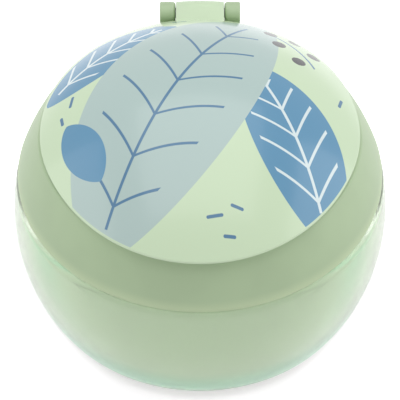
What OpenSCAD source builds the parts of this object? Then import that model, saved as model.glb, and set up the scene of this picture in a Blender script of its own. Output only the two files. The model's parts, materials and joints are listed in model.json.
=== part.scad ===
// Flip-top snack container for a toddler. A see-through bowl carries a screw-on collar, the collar
// carries a soft flap membrane in its hand hole, and a domed lid is hinged on the collar's back edge.
// Millimetres, +Z up, origin at the centre of the bowl's foot. The front is -Y and the hinge is at +Y.

/* [Bowl] */
// Widest diameter of the bowl
belly_d = 108; // [107:0.5:110]
// Height at which the bowl is widest
belly_z = 30; // [28:0.5:32]
// Radius of the side wall's curve, seen from the side
belly_arc = 60; // [56:1:66]
// Height of the shoulder that the collar stands over
shoulder_z = 43.8; // [43.4:0.1:44.6]
// Thickness of the wall and the floor
bowl_wall = 2.2; // [1.6:0.1:2.6]
// Rounding where the side wall meets the floor
base_round = 8; // [6:0.5:10]
// Diameter of the hollow under the floor, which leaves a foot ring to stand on
foot_hollow_d = 68; // [50:1:74]
// Depth of that hollow
foot_hollow = 0.9; // [0.4:0.1:1.2]
// Outer diameter of the neck, without its thread
neck_d = 92.4; // [91.6:0.2:92.6]
// Wall of the neck
neck_wall = 1.8; // [1.4:0.1:2]
// Height of the neck's rim
neck_top = 52.6; // [51.8:0.1:52.8]

/* [Collar] */
// Diameter of the collar's bottom edge
collar_d = 105; // [104.4:0.1:105.4]
// Diameter where the collar's side would meet its deck
deck_d = 90.6; // [90:0.2:91.6]
// Height of the deck's top face
deck_z = 60.3; // [60:0.1:60.4]
// Radius of the collar side's curve, seen from the side
collar_arc = 70; // [64:1:90]
// Thickness of the outer skin and the deck
skin = 1.8; // [1.5:0.1:2]
// Diameter of the hand hole
hand_hole_d = 68; // [66:0.5:69]
// Gap left between the collar and the bowl's shoulder
seam_gap = 0.4; // [0.3:0.1:0.6]
// Radial room for the screw thread between the neck and the collar
thread_room = 1.3; // [1.1:0.1:1.3]

/* [Flap membrane] */
// Thickness of the soft membrane
flap_t = 1.4; // [1.2:0.1:1.6]
// Width of the slit between two flaps
slit = 0.6; // [0.5:0.1:1]
// Distance from the axis to a corner of the flaps' polygon
flap_corner_r = 33; // [31:0.5:33]
// Radius of the small hole that ends each slit
relief_r = 1.4; // [1.2:0.1:2]
// Gap at a flap's root, which the joint turns in
root_gap = 0.18; // [0.15:0.01:0.3]

/* [Lid] */
// Diameter of the lid at the sides and the back
lid_d = 90; // [89.6:0.1:90.2]
// How far the thumb lip stands forward of that circle
lip = 3.5; // [2:0.1:4.5]
// Height of the top of the dome
lid_top = 80; // [78:0.5:83]
// Height of the underside of the rim
rim_z = 60.75; // [60.7:0.05:60.9]
// Upright edge of the rim
rim_edge = 0.75; // [0.5:0.05:1]
// Thickness of the lid's shell
lid_wall = 1.8; // [1.5:0.1:2]

/* [Hinge] */
// Distance of the hinge's axis behind the container's axis
hinge_y = 49; // [48.9:0.1:49.4]
// Height of the hinge's axis
hinge_z = 60.2; // [60:0.1:60.4]
// Radius of the collar's two knuckles
knuckle_r = 3.3; // [3:0.1:3.4]
// Width of the lid's middle knuckle
middle_w = 13.9; // [12:0.1:15]
// Width of each of the collar's knuckles
side_w = 4.6; // [4:0.1:5.5]
// Gap between two knuckles
knuckle_gap = 0.3; // [0.2:0.05:0.5]
// Radius of the hinge pin
pin_r = 1.5; // [1.2:0.1:1.6]

/* [Hidden] */
$fn = 120;
join = 1;                                 // degrees left out where one arc runs into the next

// Bowl: centre of the wall's curve, and of the roundings that blend into it
belly_c = [belly_d / 2 - belly_arc, belly_z];
base_c = round_centre(belly_c, belly_arc, base_round, base_round);
shoulder_round = 1;
shoulder_c = round_centre(belly_c, belly_arc, shoulder_round, shoulder_z - shoulder_round);
inner_arc = belly_arc - bowl_wall;
inner_round = 2;
inner_c = round_centre(belly_c, inner_arc, inner_round, shoulder_z - bowl_wall - inner_round);
neck_r = neck_d / 2;
mouth_r = neck_r - neck_wall;
neck_edge = 0.4;                          // rounding of the neck's rim
mouth_edge = 0.5;                         // rounding under the mouth's inner edge

// Collar
collar_z = shoulder_z + seam_gap;
collar_c = arc_centre([collar_d / 2, collar_z], [deck_d / 2, deck_z], collar_arc);
hem_round = 1;
hem_c = round_centre(collar_c, collar_arc, hem_round, collar_z + hem_round);
brow_round = 1.6;
brow_c = round_centre(collar_c, collar_arc, brow_round, deck_z - brow_round);
bore_r = neck_r + thread_room;
skirt_t = 1.5;                            // wall of the threaded skirt inside the outer skin
skirt_foot = collar_z + 0.6;
seat_z = neck_top + 1.6;                  // underside that presses the gasket on the rim
seat_r = mouth_r - 0.2;
deck_t = skin + 0.2;
under_deck = deck_z - deck_t;
rib_r = 40.9;                             // ring under the deck that grips the retainer
rib_t = 1.4;
rib_foot = 55.4;
hole_r = hand_hole_d / 2;
hole_round = 0.8;                         // half round bead on the hand hole's edge
hole_rise = 0.2;                          // height of the bead's centre over the deck
catch_r = 41.2;                           // ring on the deck that the lid's skirt snaps round
catch_t = 1.2;
catch_h = 1.6;
catch_arc = 36;                           // sweep of the snap beads at the front, in degrees
bead_out = 0.3;                           // how far the collar's snap bead stands out
bead_slope = 0.3;                         // height of each slope of a snap bead
bead_land = 0.2;                          // height of the flat between them
bead_root = 0.3;                          // how deep a snap bead is rooted in its wall

// Gasket between the bowl's rim and the collar's seat
gasket_gap = 0.1;
gasket_in = seat_r + gasket_gap;
gasket_out = bore_r - 0.2;
lip_rise = 0.12;                          // soft lip on each face of the gasket
lip_w = 0.8;

// Flap membrane
flap_count = 6;
half_angle = 180 / flap_count;
window_x = flap_corner_r * cos(half_angle);
bead_r = flap_t / 2;
root_x = window_x - root_gap - bead_r;
tip_round = 1.2;
membrane_z = under_deck - flap_t;
membrane_r = rib_r - 0.3;
retainer_t = 1.3;
retainer_r = hole_r + 0.5;
retainer_bevel = 0.5;
press = 0.03;                             // overlap of a pressed fit, on the radius

// Lid
lid_r = lid_d / 2;
cap_h = lid_top - rim_z - rim_edge;
dome_r = (lid_r * lid_r + cap_h * cap_h) / (2 * cap_h);
front_stretch = (lid_r + lip) / lid_r;
snap_r = catch_r + 0.7;                   // inside of the skirt that snaps round the catch ring
snap_t = 1.2;
snap_foot = deck_z + 0.2;
snap_out = 0.15;                          // how far the lid's snap bead stands in
seal_in = 36.7;
seal_out = 38.9;
seal_roof = 62.6;
seal_foot = deck_z + 0.1;
carrier_t = 0.8;                          // walls of the groove that holds the seal
carrier_foot = 61.1;
nose_w = 1;                               // width of the seal's foot

// Hinge
crown = 0.3;                              // how much thicker the middle knuckle is half way along
end_round = 0.5;                          // rounding of the middle knuckle's ends
inner_end = 0.9;                          // and of the collar's knuckles, at their inner
outer_end = 0.5;                          // and outer ends
pocket_gap = 0.4;                         // room for the middle knuckle in the collar
pin_room = 0.05;
pin_recess = 0.4;                         // how far the pin's ends lie inside the knuckles
pin_bevel = 0.3;
tongue_in = 3.5;                          // how far the tongue reaches in over the rim
tongue_foot = 1;                          // how far it reaches down at the hinge
tongue_inset = 0.3;                       // how much narrower it is than the knuckle at each end
tongue_sunk = 0.1;                        // how far its top lies inside the knuckle and the dome
side_x = middle_w / 2 + knuckle_gap;
web_round = 5;                            // hollow curve under the collar's knuckles
web_inset = 0.5;                          // how much narrower the web is at each end
web_root = 0.4;                           // how deep it is rooted in the skin, as a share of the skin
bore_clear = 0.2;                         // how far it stays outside the threaded bore

// Centre of a circle of radius r through p and q, on the side of the axis.
function arc_centre(p, q, r) =
    let (d = q - p, h = sqrt(r * r - d * d / 4)) (p + q) / 2 + h * [-d[1], d[0]] / norm(d);
// Centre of a rounding of radius b, at height z, that touches an arc of centre c and radius r inside.
function round_centre(c, r, b, z) = [c[0] + sqrt(pow(r - b, 2) - pow(z - c[1], 2)), z];
function bearing(c, p) = atan2(p[1] - c[1], p[0] - c[0]);
function arc(c, r, from, to, steps) =
    [for (i = [0:steps]) let (a = from + (to - from) * i / steps) c + r * [cos(a), sin(a)]];

// Where circles of centre p, radius a, and of centre q, radius b, cross, to the left of p to q.
function crossing(p, a, q, b) =
    let (u = (q - p) / norm(q - p), t = (a * a - b * b + pow(norm(q - p), 2)) / (2 * norm(q - p)))
    p + t * u + sqrt(a * a - t * t) * [-u[1], u[0]];

module at_hinge() translate([0, hinge_y, hinge_z]) rotate([0, 90, 0]) children();

module ring(inner, outer, from, to) {
    rotate_extrude() translate([inner, from]) square([outer - inner, to - from]);
}

// The bowl's half section: foot ring, curved wall, shoulder and neck.
module bowl_section() {
    base_a = bearing(belly_c, base_c);
    polygon(concat(
        [[0, foot_hollow], [foot_hollow_d / 2 - foot_hollow, foot_hollow], [foot_hollow_d / 2, 0]],
        arc(base_c, base_round, -90, base_a, 8),
        arc(belly_c, belly_arc, base_a + 2 * join, bearing(belly_c, shoulder_c) - join, 16),
        arc(shoulder_c, shoulder_round, bearing(belly_c, shoulder_c), 90, 5),
        [[neck_r, shoulder_z]],
        arc([neck_r - neck_edge, neck_top - neck_edge], neck_edge, 0, 90, 3),
        arc([mouth_r + neck_edge, neck_top - neck_edge], neck_edge, 90, 180, 3),
        arc([mouth_r + mouth_edge, shoulder_z - bowl_wall + mouth_edge], mouth_edge, 180, 270, 3),
        arc(inner_c, inner_round, 90, bearing(belly_c, inner_c), 5),
        arc(belly_c, inner_arc, bearing(belly_c, inner_c) - 2 * join, base_a + 2 * join, 14),
        arc(base_c, base_round - bowl_wall, base_a, -90, 8),
        [[0, bowl_wall]]
    ));
}

module bowl() {
    color([0.72, 0.83, 0.72, 0.6]) rotate_extrude() bowl_section();
}

// The gasket's section: flat, with a soft lip half way across each face.
module gasket_section() {
    mid = (gasket_in + gasket_out) / 2;
    foot = neck_top + gasket_gap;
    top = seat_z - gasket_gap;
    polygon([
        [gasket_in, foot + lip_rise], [mid - lip_w, foot + lip_rise], [mid - lip_w / 2, foot],
        [mid + lip_w / 2, foot], [mid + lip_w, foot + lip_rise], [gasket_out, foot + lip_rise],
        [gasket_out, top - lip_rise], [mid + lip_w, top - lip_rise], [mid + lip_w / 2, top],
        [mid - lip_w / 2, top], [mid - lip_w, top - lip_rise], [gasket_in, top - lip_rise]
    ]);
}

module bowl_gasket() {
    color([0.93, 0.94, 0.92]) rotate_extrude() gasket_section();
}

// The collar's half section: outer skin, deck with the hand hole, catch ring, retainer rib, gasket
// seat, and the threaded skirt with a hollow between it and the skin.
module collar_section() {
    hollow_r = bore_r + skirt_t;
    hollow_arc = collar_arc - skin;
    hollow_top = collar_c[1] + sqrt(pow(hollow_arc, 2) - pow(hollow_r - collar_c[0], 2));
    hollow_foot = [collar_c[0] + sqrt(pow(hollow_arc, 2) - pow(collar_z - collar_c[1], 2)), collar_z];
    polygon(concat(
        arc(hem_c, hem_round, -90, bearing(collar_c, hem_c), 5),
        arc(collar_c, collar_arc, bearing(collar_c, hem_c) + join, bearing(collar_c, brow_c) - join, 12),
        arc(brow_c, brow_round, bearing(collar_c, brow_c), 90, 5),
        [[catch_r, deck_z]],
        arc([catch_r - catch_t / 2, deck_z + catch_h - catch_t / 2], catch_t / 2, 0, 180, 6),
        [[catch_r - catch_t, deck_z]],
        [[hole_r + 2 * hole_round, deck_z]],
        arc([hole_r + hole_round, deck_z + hole_rise], hole_round, 0, 180, 8),
        [[hole_r, under_deck], [rib_r, under_deck], [rib_r, rib_foot]],
        [[rib_r + rib_t, rib_foot], [rib_r + rib_t, under_deck], [seat_r, under_deck]],
        [[seat_r, seat_z], [bore_r, seat_z], [bore_r, skirt_foot], [hollow_r, skirt_foot]],
        [[hollow_r, hollow_top]],
        arc(collar_c, hollow_arc, bearing(collar_c, [hollow_r, hollow_top]) - join / 2,
            bearing(collar_c, hollow_foot), 4)
    ));
}

// A knuckle's half section, from 0 to w along the pin, with rounded ends.
module knuckle_section(w, near_round, far_round) {
    polygon(concat(
        [[0, 0]],
        arc([knuckle_r - near_round, near_round], near_round, -90, 0, 5),
        arc([knuckle_r - far_round, w - far_round], far_round, 0, 90, 4),
        [[0, w]]
    ));
}

// One of the collar's knuckles, on a web that flows into the skin on a hollow curve. The skin falls
// away round the container, so the web is fitted to it at the knuckle's outer end.
module side_knuckle() {
    knuckle_c = [hinge_y, hinge_z];
    fall = hinge_y - sqrt(pow(hinge_y, 2) - pow(side_x + side_w, 2));
    skin_c = collar_c - [fall, 0];
    web_c = crossing(knuckle_c, knuckle_r + web_round, skin_c, collar_arc + web_round);
    web_foot = bearing(web_c, skin_c) + 360;
    rooted_r = collar_arc - web_root * skin;
    at_hinge() translate([0, 0, side_x]) rotate_extrude() knuckle_section(side_w, inner_end, outer_end);
    difference() {
        translate([side_x + web_inset, 0, 0]) rotate([90, 0, 90]) linear_extrude(side_w - 2 * web_inset)
            polygon(concat(
                [knuckle_c],
                arc(web_c, web_round, bearing(web_c, knuckle_c), web_foot, 10),
                arc(skin_c, rooted_r, web_foot - 180, bearing(skin_c, [deck_d / 2, deck_z]), 4),
                [[hinge_y, deck_z]]
            ));
        cylinder(r = bore_r + bore_clear, h = seat_z);
    }
}

// A snap bead's section: it stands out from the wall at r by out, or inwards where out is negative.
module snap_bead(r, out, foot) {
    root = out > 0 ? -bead_root : bead_root;
    rotate([0, 0, -90 - catch_arc / 2]) rotate_extrude(angle = catch_arc) translate([r, foot]) polygon([
        [root, 0], [out, bead_slope], [out, bead_slope + bead_land], [root, 2 * bead_slope + bead_land]
    ]);
}

module collar() {
    color([0.63, 0.71, 0.57]) difference() {
        union() {
            rotate_extrude() collar_section();
            side_knuckle();
            mirror([1, 0, 0]) side_knuckle();
            snap_bead(catch_r, bead_out, deck_z + catch_h - 1);
        }
        at_hinge() cylinder(r = pin_r - press, h = 4 * middle_w, center = true);
        at_hinge() cylinder(r = knuckle_r + crown + pocket_gap, h = 2 * side_x, center = true);
    }
}

module hinge_pin() {
    half = side_x + side_w - pin_recess;
    color([0.8, 0.81, 0.82]) at_hinge() rotate_extrude() polygon([
        [0, -half], [pin_r - pin_bevel, -half], [pin_r, pin_bevel - half],
        [pin_r, half - pin_bevel], [pin_r - pin_bevel, half], [0, half]
    ]);
}

module membrane_ring() {
    color([0.9, 0.93, 0.88]) translate([0, 0, membrane_z]) difference() {
        cylinder(r = membrane_r, h = flap_t);
        translate([0, 0, -1]) linear_extrude(flap_t + 2)
            polygon([for (i = [0:flap_count - 1])
                let (a = 90 + half_angle + 2 * half_angle * i) flap_corner_r * [cos(a), sin(a)]]);
        relief_holes();
    }
}

// The small round holes that end the slits, at the corners of the flaps' polygon.
module relief_holes() {
    for (i = [0:flap_count - 1])
        rotate(90 + half_angle + 2 * half_angle * i) translate([flap_corner_r - relief_r / 2, 0, -1])
            cylinder(r = relief_r, h = flap_t + 2);
}

// A wedge from the slits' crossing to its root, where a round bead lets it bend.
module flap(number) {
    tip = (slit / 2 + tip_round) / sin(half_angle);
    root_half = root_x * tan(half_angle) - slit / 2 / cos(half_angle);
    bead_half = root_half - relief_r;
    color([0.9, 0.93, 0.88]) translate([0, 0, membrane_z]) difference() {
        rotate(90 + 2 * half_angle * (number - 1)) {
            linear_extrude(flap_t) polygon(concat(
                arc([tip, 0], tip_round, 90 + half_angle, 270 - half_angle, 8),
                [[root_x, -root_half], [root_x, root_half]]
            ));
            translate([root_x, 0, bead_r]) rotate([90, 0, 0])
                cylinder(r = bead_r, h = 2 * bead_half, center = true);
        }
        relief_holes();
    }
}

module flap_retainer() {
    foot = membrane_z - retainer_t;
    color([0.63, 0.71, 0.57]) rotate_extrude() polygon([
        [retainer_r, membrane_z], [retainer_r, foot + retainer_bevel],
        [retainer_r + retainer_bevel, foot], [rib_r + press - retainer_bevel, foot],
        [rib_r + press, foot + retainer_bevel], [rib_r + press, membrane_z]
    ]);
}

// The dome's outer form, filled, its surface moved in by inset and its foot at height from.
// The front half is the same cap drawn out forward, which makes the thumb lip.
module dome(inset, from) {
    module half() rotate_extrude(angle = 180, $fn = 240) intersection() {
        translate([0, lid_top - dome_r]) circle(dome_r - inset, $fn = 240);
        translate([0, from]) square([lid_r - inset, lid_top]);
    }
    half();
    scale([1, front_stretch, 1]) rotate(180) half();
}

// The middle knuckle, thicker half way along, and the tongue that joins it to the rim.
module middle_knuckle() {
    half = middle_w / 2;
    crown_arc = (half * half + crown * crown) / (2 * crown);
    crown_a = asin((half - end_round) / crown_arc);
    end_r = knuckle_r + crown - crown_arc * (1 - cos(crown_a)) - end_round;
    tongue_half = half - tongue_inset;
    inner_y = lid_r - tongue_in;
    inner_z = sqrt(pow(dome_r, 2) - pow(inner_y, 2) - pow(tongue_half, 2)) + lid_top - dome_r - tongue_sunk;
    at_hinge() rotate_extrude($fn = 72) polygon(concat(
        [[0, -half]],
        arc([end_r, end_round - half], end_round, -90, 0, 3),
        arc([knuckle_r + crown - crown_arc, 0], crown_arc, join - crown_a, crown_a - join, 6),
        arc([end_r, half - end_round], end_round, 0, 90, 3),
        [[0, half]]
    ));
    translate([-tongue_half, 0, 0]) rotate([90, 0, 90]) linear_extrude(2 * tongue_half) polygon([
        [inner_y, inner_z - lid_wall / 2], [lid_r - lid_wall / 2, rim_z],
        [hinge_y, rim_z - tongue_foot], [hinge_y, hinge_z + knuckle_r - tongue_sunk], [inner_y, inner_z]
    ]);
}

module lid() {
    color([0.82, 0.9, 0.79]) difference() {
        union() {
            difference() {
                dome(0, rim_z);
                dome(lid_wall, rim_z - 1);
            }
            intersection() {
                dome(lid_wall / 2, snap_foot);
                union() {
                    ring(snap_r, snap_r + snap_t, snap_foot, lid_top);
                    ring(seal_in - carrier_t, seal_out + carrier_t, carrier_foot, lid_top);
                }
            }
            snap_bead(snap_r, -snap_out, snap_foot);
            middle_knuckle();
        }
        ring(seal_in, seal_out, snap_foot - 1, seal_roof);
        at_hinge() cylinder(r = pin_r + pin_room, h = 2 * middle_w, center = true);
    }
}

module lid_seal() {
    mid = (seal_in + seal_out) / 2;
    color([0.93, 0.94, 0.92]) rotate_extrude() polygon([
        [seal_in - press, seal_roof], [seal_in - press, carrier_foot], [mid - nose_w / 2, seal_foot],
        [mid + nose_w / 2, seal_foot], [seal_out + press, carrier_foot], [seal_out + press, seal_roof]
    ]);
}

bowl();
bowl_gasket();
collar();
hinge_pin();
membrane_ring();
flap_retainer();
flap(1);  // flap_1
flap(2);  // flap_2
flap(3);  // flap_3
flap(4);  // flap_4
flap(5);  // flap_5
flap(6);  // flap_6
lid();
lid_seal();
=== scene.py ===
import json
from math import atan2, ceil, cos, degrees, hypot, pi, radians, sin, sqrt, tan

import bmesh
import bpy
from mathutils import Matrix, Vector


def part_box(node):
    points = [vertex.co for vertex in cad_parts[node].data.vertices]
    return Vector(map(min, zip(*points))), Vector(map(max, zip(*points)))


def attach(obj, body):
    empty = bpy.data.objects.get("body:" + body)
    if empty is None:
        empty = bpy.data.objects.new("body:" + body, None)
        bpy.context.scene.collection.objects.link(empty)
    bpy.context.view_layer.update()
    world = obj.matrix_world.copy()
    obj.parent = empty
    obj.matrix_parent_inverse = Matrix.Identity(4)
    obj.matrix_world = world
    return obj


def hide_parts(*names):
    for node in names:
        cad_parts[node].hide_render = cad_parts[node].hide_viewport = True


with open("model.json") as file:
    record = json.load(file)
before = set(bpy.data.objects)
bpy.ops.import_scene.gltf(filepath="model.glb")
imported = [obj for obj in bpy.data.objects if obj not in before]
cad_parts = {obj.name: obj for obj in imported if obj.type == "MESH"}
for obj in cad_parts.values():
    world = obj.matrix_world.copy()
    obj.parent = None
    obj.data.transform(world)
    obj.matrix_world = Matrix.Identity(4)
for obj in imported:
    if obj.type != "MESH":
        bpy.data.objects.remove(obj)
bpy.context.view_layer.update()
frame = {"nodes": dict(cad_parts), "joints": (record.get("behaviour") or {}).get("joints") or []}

mm = 0.001
roundSteps = 192  # faces round the collar, the lid and the rings
edgeShare = 0.49  # the most of a straight edge that one rounding may take
nodeBox = {node: [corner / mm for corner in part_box(node)] for node in frame["nodes"]}  # millimetres
joints = {joint["name"]: joint for joint in frame["joints"]}
hingeY, hingeZ = joints["lid_hinge"]["pos_m"][1] / mm, joints["lid_hinge"]["pos_m"][2] / mm
threadLead = joints["collar_lift"]["range_m"][1] / mm  # the collar climbs this far in a turn


# Maths in a node tree: a Term is one output socket, and its operators add Math nodes.
class Term:
    def __init__(self, tree, socket):
        self.tree = tree
        self.socket = socket

    def maths(self, operation, *values):
        return self.tree.add("ShaderNodeMath", {"operation": operation}, dict(enumerate(values)))

    def __add__(self, other):
        return self.maths("ADD", self, other)

    __radd__ = __add__

    def __sub__(self, other):
        return self.maths("SUBTRACT", self, other)

    def __rsub__(self, other):
        return self.maths("SUBTRACT", other, self)

    def __mul__(self, other):
        return self.maths("MULTIPLY", self, other)

    __rmul__ = __mul__

    def __truediv__(self, other):
        return self.maths("DIVIDE", self, other)

    def __rtruediv__(self, other):
        return self.maths("DIVIDE", other, self)

    def __pow__(self, other):
        return self.maths("POWER", self, other)

    def __abs__(self):
        return self.maths("ABSOLUTE", self)

    def least(self, other):
        return self.maths("MINIMUM", self, other)

    def most(self, other):
        return self.maths("MAXIMUM", self, other)

    def root(self):
        return self.maths("SQRT", self)

    def wrapped(self):
        return self.maths("FRACT", self)

    def cosine(self):
        return self.maths("COSINE", self)

    def above(self, limit):
        return self.maths("GREATER_THAN", self, limit)

    def eased(self, low, high):  # 0 below low, 1 above high, smooth between
        settings = {"interpolation_type": "SMOOTHSTEP", "clamp": True}
        return self.tree.add("ShaderNodeMapRange", settings, {0: self, 1: low, 2: high, 3: 0, 4: 1})


# Any node comes from its type, its settings and the values or Terms of its inputs.
class NodeMaker:
    def __init__(self, tree):
        self.nodes = tree.nodes
        self.links = tree.links

    def add(self, kind, settings=None, inputs=None, output=0):
        node = self.nodes.new(kind)
        for name, value in (settings or {}).items():
            setattr(node, name, value)
        for key, value in (inputs or {}).items():
            if isinstance(value, Term):
                self.links.new(value.socket, node.inputs[key])
            else:
                node.inputs[key].default_value = value
        return Term(self, node.outputs[output])

    def axes(self, vector):
        parts = self.add("ShaderNodeSeparateXYZ", inputs={0: vector}).socket.node.outputs
        return [Term(self, part) for part in parts]

    def vector(self, x=0, y=0, z=0):
        return self.add("ShaderNodeCombineXYZ", inputs={0: x, 1: y, 2: z})

    def mix(self, first, second, factor):
        return self.add("ShaderNodeMix", {"data_type": "RGBA"}, {0: factor, 6: first, 7: second}, 2)


# A material with one Principled shader, whose constants go straight on its sockets.
class Finish(NodeMaker):
    def __init__(self, name, **constants):
        self.material = bpy.data.materials.new(name)
        self.material.use_nodes = True
        super().__init__(self.material.node_tree)
        self.shader = self.nodes["Principled BSDF"]
        for socket, value in constants.items():
            self.shader.inputs[socket.replace("_", " ")].default_value = value

    def place(self):  # object coordinates in millimetres, as one vector
        spot = self.add("ShaderNodeTexCoord", output="Object")
        return self.add("ShaderNodeVectorMath", {"operation": "SCALE"}, {0: spot, "Scale": 1 / mm})

    def noise(self, vector, scale, detail=3, roughness=0.5):
        inputs = {"Vector": vector, "Scale": scale, "Detail": detail, "Roughness": roughness}
        return self.add("ShaderNodeTexNoise", {}, inputs)

    def feed(self, socket, value):
        self.links.new(value.socket, self.shader.inputs[socket])
        return self

    def bump(self, height, strength, distance=0.00005):
        inputs = {"Height": height, "Strength": strength, "Distance": distance}
        return self.feed("Normal", self.add("ShaderNodeBump", {}, inputs))


# A Geometry Nodes tree with named inputs.
class ShapeTree(NodeMaker):
    def __init__(self, name, inputs, reshapes=False):
        self.group = bpy.data.node_groups.new(name, "GeometryNodeTree")
        super().__init__(self.group)
        face = self.group.interface
        face.new_socket(name="Geometry", in_out="OUTPUT", socket_type="NodeSocketGeometry")
        if reshapes:
            face.new_socket(name="Geometry", in_out="INPUT", socket_type="NodeSocketGeometry")
        for label, kind in inputs.items():
            face.new_socket(name=label, in_out="INPUT", socket_type="NodeSocket" + kind)
        self.entry = self.nodes.new("NodeGroupInput")

    def given(self, label):
        return Term(self, self.entry.outputs[label])

    def close(self, geometry):  # real meshes with the material set, as the last two nodes
        whole = self.add("GeometryNodeRealizeInstances", {}, {0: geometry})
        coated = self.add("GeometryNodeSetMaterial", {}, {0: whole, "Material": self.given("Material")})
        self.links.new(coated.socket, self.nodes.new("NodeGroupOutput").inputs[0])

    def shape(self, piece, values):
        modifier = piece.modifiers.new(self.group.name, "NODES")
        modifier.node_group = self.group
        for item in self.group.interface.items_tree:
            if item.in_out == "INPUT" and item.name in values:
                modifier[item.identifier] = values[item.name]
        return settled(piece)


def tint(red, green, blue):  # a screen colour, 0 to 255, as a linear one
    screen = [part / 255 for part in (red, green, blue)]
    return (*[part / 12.92 if part < 0.04 else ((part + 0.055) / 1.055) ** 2.4 for part in screen], 1)


def shaded(colour, share):  # a darker or a lighter linear colour
    return (*[min(1, part * share) for part in colour[:3]], 1)


# Outlines are lists of (radius, height) points in millimetres, angles in degrees.
def arcPoints(centre, radius, start, end, steps):
    turns = [radians(start + (end - start) * step / steps) for step in range(steps + 1)]
    return [(centre[0] + radius * cos(turn), centre[1] + radius * sin(turn)) for turn in turns]


def bearing(centre, point):
    return degrees(atan2(point[1] - centre[1], point[0] - centre[0]))


def arcCentre(start, end, radius):  # of the arc through both points, on the axis's side
    across, up = end[0] - start[0], end[1] - start[1]
    span = hypot(across, up)
    reach = sqrt(radius ** 2 - span ** 2 / 4)
    return (start[0] + end[0]) / 2 - reach * up / span, (start[1] + end[1]) / 2 + reach * across / span


def roundingCentre(centre, radius, rounding, height):  # of a rounding that touches a larger arc inside
    return centre[0] + sqrt((radius - rounding) ** 2 - (height - centre[1]) ** 2), height


def crossing(first, firstRadius, second, secondRadius):  # where two circles cross, on the left
    ahead = Vector(second) - Vector(first)
    gap = ahead.length
    along = (firstRadius ** 2 - secondRadius ** 2 + gap ** 2) / (2 * gap)
    aside = sqrt(firstRadius ** 2 - along ** 2)
    ahead.normalize()
    return first[0] + along * ahead.x - aside * ahead.y, first[1] + along * ahead.y + aside * ahead.x


def filleted(corners, degreesPerStep=15):  # a closed outline; a corner's third number rounds it
    points = []
    for index, corner in enumerate(corners):
        if len(corner) == 2:
            points.append(corner)
            continue
        here = Vector(corner[:2])
        before = Vector(corners[index - 1][:2]) - here
        after = Vector(corners[(index + 1) % len(corners)][:2]) - here
        halfAngle = before.angle(after) / 2
        setback = min(corner[2] / tan(halfAngle), edgeShare * before.length, edgeShare * after.length)
        rounding = setback * tan(halfAngle)
        middle = (before.normalized() + after.normalized()).normalized()
        centre = here + middle * rounding / sin(halfAngle)
        start = bearing(centre, here + before.normalized() * setback)
        sweep = (bearing(centre, here + after.normalized() * setback) - start + 180) % 360 - 180
        steps = ceil(abs(sweep) / degreesPerStep - 0.01)  # a whole number of steps isn't rounded up
        points += arcPoints(centre, rounding, start, start + sweep, max(3, steps))
    return points


def linked(name, mesh):
    piece = bpy.data.objects.new(name, mesh)
    bpy.context.scene.collection.objects.link(piece)
    return piece


def meshFrom(shape, name):  # merges doubles and points the faces outwards
    bmesh.ops.remove_doubles(shape, verts=shape.verts, dist=1e-7)
    bmesh.ops.recalc_face_normals(shape, faces=shape.faces)
    mesh = bpy.data.meshes.new(name)
    shape.to_mesh(mesh)
    shape.free()
    return linked(name, mesh)


def turned(name, outline, steps=roundSteps, sweep=360):
    # Turns an outline about the axis. A part turn is centred on the front and closed at both ends.
    shape = bmesh.new()
    whole = sweep == 360
    stations = steps if whole else steps + 1
    angles = [radians(-sweep / 2 + sweep * step / steps) for step in range(stations)]
    columns = []
    for radius, height in outline:
        spots = [(radius * sin(angle), -radius * cos(angle), height) for angle in angles]
        if radius < 1e-6:
            spots = spots[:1]
        columns.append([shape.verts.new([mm * part for part in spot]) for spot in spots])
    for near, far in zip(columns, columns[1:] + columns[:1]):
        if len(near) == 1 and len(far) == 1:
            continue
        for step in range(steps):
            following = (step + 1) % stations
            loop = [near[step % len(near)], near[following % len(near)],
                    far[following % len(far)], far[step % len(far)]]
            shape.faces.new(list(dict.fromkeys(loop)))
    if not whole:
        shape.faces.new([column[0] for column in columns])
        shape.faces.new([column[-1] for column in reversed(columns)])
    return meshFrom(shape, name)


def rod(name, radius, start, end, steps, rounds=(), degreesPerStep=15):  # a cylinder up the Z axis
    rims = [(radius, start, *rounds[:1]), (radius, end, *rounds[1:])]
    return turned(name, filleted([(0, start), *rims, (0, end)], degreesPerStep), steps)


def lofted(name, rings):  # outlines of as many points each, at their heights, joined from first to last
    shape = bmesh.new()
    loops = [[shape.verts.new((x * mm, y * mm, height * mm)) for x, y in outline]
             for outline, height in rings]
    for lower, upper in zip(loops, loops[1:]):
        for index in range(len(lower)):
            following = (index + 1) % len(lower)
            shape.faces.new([lower[index], lower[following], upper[following], upper[index]])
    shape.faces.new(loops[0][::-1])
    shape.faces.new(loops[-1])
    return meshFrom(shape, name)


def extruded(name, outline, low, high):  # an outline in the XY plane, raised along Z
    return lofted(name, [(outline, low), (outline, high)])


def moved(piece, matrix):
    piece.data.transform(matrix)
    if matrix.determinant() < 0:
        piece.data.flip_normals()
    return piece


def alongHinge(piece):  # from a piece round the Z axis to one round the hinge's pin
    return moved(piece, Matrix.Translation((0, hingeY * mm, hingeZ * mm)) @ Matrix.Rotation(pi / 2, 4, "Y"))


def sideways(piece):  # from an outline raised along Z to one of (y, z) points, carried along X
    return moved(piece, Matrix(((0, 0, 1, 0), (1, 0, 0, 0), (0, 1, 0, 0), (0, 0, 0, 1))))


def mirrored(piece):
    return moved(linked(piece.name + "Twin", piece.data.copy()), Matrix.Diagonal((-1, 1, 1, 1)))


def settled(piece):  # the modifiers' result as a plain mesh
    graph = bpy.context.evaluated_depsgraph_get()
    mesh = bpy.data.meshes.new_from_object(piece.evaluated_get(graph))
    piece.modifiers.clear()
    piece.data = mesh
    return piece


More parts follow.
